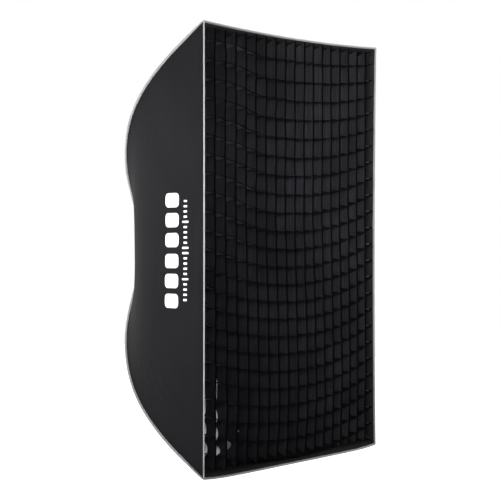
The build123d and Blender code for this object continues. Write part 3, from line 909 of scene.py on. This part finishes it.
def make_front_diffuser():
    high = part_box("front_diffuser")[1]
    hx, hz = high.x - 3 * MM, high.z - 3 * MM

    def y_at(x, z):
        edge, soft = slack(x, z, high, 4.0, 3)
        return DIFF_Y - edge * (2.0 * MM + 2.0 * MM * soft)

    for side, label, upper, _, _ in half_sides():
        piece = diffuser_sector("front_diffuser", side, label, upper, hx, hz, y_at)
        follow_rib(piece, ["front_diffuser"])


def make_inner_diffuser():
    hx, hz = INNER_HIGH.x, INNER_HIGH.z

    def y_at(x, z):
        edge, soft = slack(x, z, INNER_HIGH, 6.0, 8)
        return INNER_Y + edge * 5.0 * MM * (0.6 * soft - 0.4)

    for side, label, upper, _, _ in half_sides():
        piece = diffuser_sector("inner_diffuser", side, label, upper, hx - 9 * MM, hz - 9 * MM, y_at)
        follow_rib(piece, ["inner_diffuser"])
        hem = inner_hem(side, label, upper)
        follow_rib(hem, ["inner_border"])


def inner_hem(side, label, upper):
    """Black hem tape round the inner diffuser, mitred at the corners."""
    n = 60
    t = np.linspace(0, 1, n) * (1 if upper else -1)
    hx, hz = INNER_HIGH.x, INNER_HIGH.z
    near, far = (hx, hz) if side in TALL else (hz, hx)
    section = [(0, -0.9), (0, 0.9), (4, 1.1), (9, 1.1), (12, 0.9), (12, -0.9), (9, -1.1), (4, -1.1)]
    rings = np.zeros((n, len(section), 3))
    for j, (inset, h) in enumerate(section):
        x, z = on_side(side, np.full(n, near - inset * MM), (far - inset * MM) * t)
        rings[:, j] = np.stack([x, np.full(n, INNER_Y + h * MM), z], -1)
    return swept(f"inner_hem_{side}_{label}", rings, arc_length(rings[:, 0]), (M_BLACK_TAPE,))


def inner_tab(key):
    """Elastic strap from the inner diffuser's corner to a loop round the rib, blended with the rib."""
    r0 = math.hypot(INNER_HIGH.x, INNER_HIGH.z) - 12 * MM
    us = np.linspace(0.5, 1, 400)
    rr, yy = ridge(us, RIB_D)
    pick = int(np.argmin(np.abs(yy - (INNER_Y + 2 * MM))))
    r1, y1 = float(rr[pick]), float(yy[pick])
    pts = [(r0, INNER_Y + 1.6 * MM), (r0 + 14 * MM, INNER_Y + 2.2 * MM)]
    strap_r = pts[-1][0]
    span = r1 - 4 * MM - strap_r
    for f in (0.25, 0.5, 0.75):
        pts.append((strap_r + span * f, INNER_Y + 2.2 * MM - 1.5 * MM * math.sin(math.pi * f)))
    for i in range(25):
        g = math.pi - math.tau * i / 24
        pts.append((r1 + 4.1 * MM * math.cos(g), y1 + 4.1 * MM * math.sin(g)))
    path = np.array(pts)
    tang = np.gradient(path, axis=0)
    tang /= np.linalg.norm(tang, axis=1, keepdims=True)
    nrm = np.stack([-tang[:, 1], tang[:, 0]], -1)
    rings = np.zeros((len(path), 8, 3))
    shape = [(-1, -0.5), (-1, 0.5), (-0.8, 0.7), (0.8, 0.7), (1, 0.5), (1, -0.5), (0.8, -0.7), (-0.8, -0.7)]
    for j, (s, h) in enumerate(shape):
        p = path + nrm * (h * MM)
        rings[:, j] = corner_point(key, p[:, 0], p[:, 1], s * TAB_HALF_W)
    piece = swept("inner_tab_" + key, rings, arc_length(rings[:, 0]), (M_BLACK_TAPE,))
    follow_corner(piece, "inner_tabs")


# ---- corner pockets and hem at the hub
def pocket(key):
    """Cloth flap sewn across the corner, over the rib's tip, with a folded end."""
    n, m = 24, 13
    u = np.linspace(0.944, 0.9885, n)
    rings = np.zeros((n, 2 * m, 3))
    for i, x in enumerate(u):
        f = i / (n - 1)
        half_w = (7.5 - 2.0 * f) * MM
        for j in range(m):
            w = -1 + 2 * j / (m - 1)
            d = RIB_D + 5.2 * MM - 2.2 * MM * abs(w) ** 2.5 - 6.0 * MM * max(0, f - 0.75)
            r, y = ridge(x, d)
            r2, y2 = ridge(x, d + 0.9 * MM)
            rings[i, j] = corner_point(key, r, y, w * half_w)
            rings[i, 2 * m - 1 - j] = corner_point(key, r2, y2, w * half_w)
    piece = swept("corner_pocket_" + key, rings, arc_length(rings[:, 0]), (M_BLACK_TAPE,))
    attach(piece, "rib_" + key)
    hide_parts("pocket_" + key)


def hub_hem():
    """Grey piped hem that closes the cloth round the hub, slightly gathered."""
    n, m = 144, 12
    low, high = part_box("hem_ring")
    mid_r = (R_ROOT + high.x - 3 * MM) / 2
    mid_y = (low.y + high.y) / 2
    rings = np.zeros((n + 1, m, 3))
    for i in range(n + 1):
        g = math.tau * i / n
        bump = 0.25 * MM * math.sin(g * 48)
        for j in range(m):
            q = math.tau * j / m
            r = mid_r + (2.4 * MM + bump) * math.cos(q)
            rings[i, j] = (r * math.cos(g), mid_y + (3.0 * MM + bump) * math.sin(q), r * math.sin(g))
    piece = swept("hub_hem", rings, arc_length(rings[:, 0]), (M_TAPE,), closed_ends=False)
    fix_normals(piece, weld=True)
    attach(piece, "hub")
    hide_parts("hem_ring")


# ---- print on the long panels
def print_patch(name, side, blocks):
    """Raised ink islands on a panel: each block is (y, z, y size, z size, corner radius) in metres."""
    verts, faces, uvs = [], [], []
    n, m = 7, 9
    us = np.linspace(0, 1, 2000)
    depth = -ridge(us, 0.0)[1]
    for y_mid, z_mid, y_size, z_size, radius in blocks:
        grid = [rounded(-1 + 2 * i / (n - 1), -1 + 2 * j / (m - 1), y_size, z_size, radius)
                for i in range(n) for j in range(m)]
        places = [(solve_u(side, y_mid + a, z_mid + b, us, depth), z_mid + b) for a, b in grid]
        cloth, walls, _ = closed_faces(n, m, len(verts))
        faces += cloth + walls
        for lift in (0.35 * MM, 0.0):
            verts += [tuple(surface_at(side, u, z, lift)) for u, z in places]
            uvs += grid
    return fix_normals(new_object(name, verts, faces, uvs, (M_INK,), smooth=False))


def rounded(a, b, w, h, radius):
    """Map the square (-1..1) to a rounded rectangle w by h."""
    x, z = a * w / 2, b * h / 2
    cx, cz = w / 2 - radius, h / 2 - radius
    ox, oz = abs(x) - cx, abs(z) - cz
    if ox > 0 and oz > 0:
        big = max(ox, oz)
        length = math.hypot(ox, oz)
        x = math.copysign(cx + ox * big / length, x)
        z = math.copysign(cz + oz * big / length, z)
    return x, z


def surface_at(side, u, z, lift):
    """Point of the outer cloth of a long panel at share u and height z, lifted off the wrinkled cloth."""
    r = R_ROOT + (R_CORNER - R_ROOT) * u
    t = z / (r * CZ)
    base = layer_point(side, u, 0.0, t)
    inward = layer_point(side, u, 1.0 * MM, t) - base
    inward /= np.linalg.norm(inward)
    crease = panel_wrinkles(side, base[None, None, :], np.array([[u]]), np.array([[t]]))[0, 0]
    return base - inward * (crease + lift - PROUD)


def solve_u(side, y, z, us, depth):
    """Share of the rib at which the panel passes y at height z."""
    r = R_ROOT + (R_CORNER - R_ROOT) * us
    t = np.clip(z / (r * CZ), -1, 1)
    drop = depth + SAG[side] * sag_share(us) * (1 - np.abs(t) ** 3)
    ok = us > 0.3
    return float(np.interp(-y, drop[ok], us[ok]))


PRINT_Y = -0.372
TICKS_Y = PRINT_Y - 0.062
FIRST_BLOCK, BLOCK_STEP = 0.028, 0.0535      # heights from the middle line
FIRST_TICK, TICK_STEP = 0.007, 0.0138


def make_print():
    """A plain row of blocks with a tick scale beside it: no letters."""
    for side, label, upper, _, _ in half_sides():
        if side not in TALL:
            continue
        sign = 1 if upper else -1
        blocks = [(PRINT_Y, sign * (FIRST_BLOCK + BLOCK_STEP * i), 0.062, 0.038, 0.012) for i in range(3)]
        for i in range(10):
            tick = 0.014 if i % 5 else 0.026
            blocks.append((TICKS_Y, sign * (FIRST_TICK + TICK_STEP * i), tick, 0.0055, 0.0015))
        follow_rib(print_patch(f"print_{side}_{label}", side, blocks))


# ---- hardware keeps its CAD shape
HARDWARE = {"mount_ring": M_STEEL, "retaining_ring": M_PAINT, "grub_screws": M_ZINC,
            "bearing_ring": M_BEARING, "hub_ring": M_NYLON, "hub_pins": M_ZINC, "runner_ring": M_NYLON,
            "button_left": M_RED, "button_right": M_RED}
CORNER_HARDWARE = {"rib_rod_": M_ROD, "rib_root_": M_NYLON, "saddle_": M_NYLON, "rib_tip_": M_NYLON,
                   "stretcher_": M_PAINT, "pivot_pins_": M_ZINC}


def dress(node, material):
    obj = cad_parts[node]
    obj.data.materials.clear()
    obj.data.materials.append(material)


def dress_hardware():
    for node, material in HARDWARE.items():
        dress(node, material)
    for key in CORNERS:
        for start, material in CORNER_HARDWARE.items():
            dress(start + key, material)


# ---- floor, light and camera
STUDIO_DIM = 0.42                  # brightness of the studio away from the white wall
FLOOR_Z = -1.5
FLOOR_HALF = 14.0
WALL_SIDE = (0.831, 0.556, 0.0)    # direction of the white wall, behind the object in the photo's view


def make_floor():
    """Pale floor under the object, glowing towards the white wall as painted light."""
    n = Nodes("pale_floor")
    place = n.coords("Object", (1, 1, 0))
    cloud = n.noise(place, 1.5, 3.0)
    towards = n.add("VectorMath")
    towards.operation = "DOT_PRODUCT"
    towards.inputs[1].default_value = WALL_SIDE
    n.link(place, towards.inputs[0])
    bsdf = n.shader(n.ramp(cloud, [(0.3, grey(0.88)), (0.7, grey(0.92))]), cloud, 0.0, Roughness=0.9)
    # painted light: emission makes the floor glow towards the white wall, though it is no lamp
    far = n.ramp(n.times(towards.outputs["Value"], 0.1), [(0.30, grey(0.0)), (0.45, grey(1.0))])
    n.link(far, bsdf.inputs["Emission Color"])
    bsdf.inputs["Emission Strength"].default_value = 0.8
    corners = [(sx * FLOOR_HALF, sy * FLOOR_HALF, FLOOR_Z) for sx, sy in ((-1, -1), (1, -1), (1, 1), (-1, 1))]
    new_object("floor", corners, [(0, 1, 2, 3)], None, (n.mat,), smooth=False)


def make_studio():
    """A white wall behind the object, the rest of the studio less than half as bright, four soft lights."""
    world = bpy.data.worlds.new("studio")
    bpy.context.scene.world = world
    world.use_nodes = True
    tree = world.node_tree
    direction = tree.nodes.new("ShaderNodeTexCoord")
    towards = tree.nodes.new("ShaderNodeVectorMath")
    towards.operation = "DOT_PRODUCT"
    towards.inputs[1].default_value = WALL_SIDE
    shade = tree.nodes.new("ShaderNodeValToRGB")
    for element, (position, value) in zip(shade.color_ramp.elements, ((0.15, STUDIO_DIM), (0.75, 1.0))):
        element.position = position
        element.color = (value, value, value, 1)
    tree.links.new(direction.outputs["Generated"], towards.inputs[0])
    tree.links.new(towards.outputs["Value"], shade.inputs["Fac"])
    tree.links.new(shade.outputs["Color"], tree.nodes["Background"].inputs["Color"])
    area_light("left", (-2.8, 0.1, 0.35), (-0.3, -0.35, 0.13), 0.7, 8.3, 45)
    area_light("front", (-0.85, -3.2, 1.1), (0.3, -0.5, 0.3), 0.7, 11, 48)
    area_light("back", (-2.2, 2.6, 1.6), (0, -0.1, 0), 1.8, 12)
    area_light("rear_right", (3.0, 2.2, 1.6), (0.2, -0.2, 0), 1.6, 18)


def area_light(name, place_at, aim, size, watts, spread=180):
    """Square light of a size in metres at a place, aimed at another; spread is its cone in degrees."""
    data = bpy.data.lights.new(name, "AREA")
    data.size = size
    data.energy = watts
    data.spread = math.radians(spread)
    obj = bpy.data.objects.new(name, data)
    bpy.context.scene.collection.objects.link(obj)
    obj.location = place_at
    obj.rotation_euler = (Vector(aim) - Vector(place_at)).to_track_quat("-Z", "Y").to_euler()


CAMERA_AT = (-4.32808, FRONT_Y - 2.73597, 0.07734)
CAMERA_TURN = (56.249, -0.918, 0.049)        # heading, pitch and roll in degrees
CAMERA_LENS = 130.7                          # focal length in mm, with a sensor 36 mm wide


def make_camera():
    """Front-left view with a long lens, 5.1 m from the middle of the mouth and nearly level with it."""
    data = bpy.data.cameras.new("camera")
    data.sensor_width = 36.0
    data.lens = CAMERA_LENS
    data.clip_end = 100
    cam = bpy.data.objects.new("camera", data)
    bpy.context.scene.collection.objects.link(cam)
    a, e, roll = (math.radians(x) for x in CAMERA_TURN)
    forward = Vector((math.sin(a) * math.cos(e), math.cos(a) * math.cos(e), math.sin(e)))
    look = forward.to_track_quat("-Z", "Y").to_matrix()
    cam.matrix_world = Matrix.Translation(CAMERA_AT) @ look.to_4x4() @ Matrix.Rotation(roll, 4, "Z")
    bpy.context.scene.camera = cam
    bpy.context.scene.view_settings.view_transform = "Standard"


make_camera()
make_panels()
make_bindings()
make_inner_bands()
make_grid()
make_front_diffuser()
make_inner_diffuser()
for corner in CORNERS:
    inner_tab(corner)
    pocket(corner)
hub_hem()
make_print()
dress_hardware()
make_floor()
make_studio()
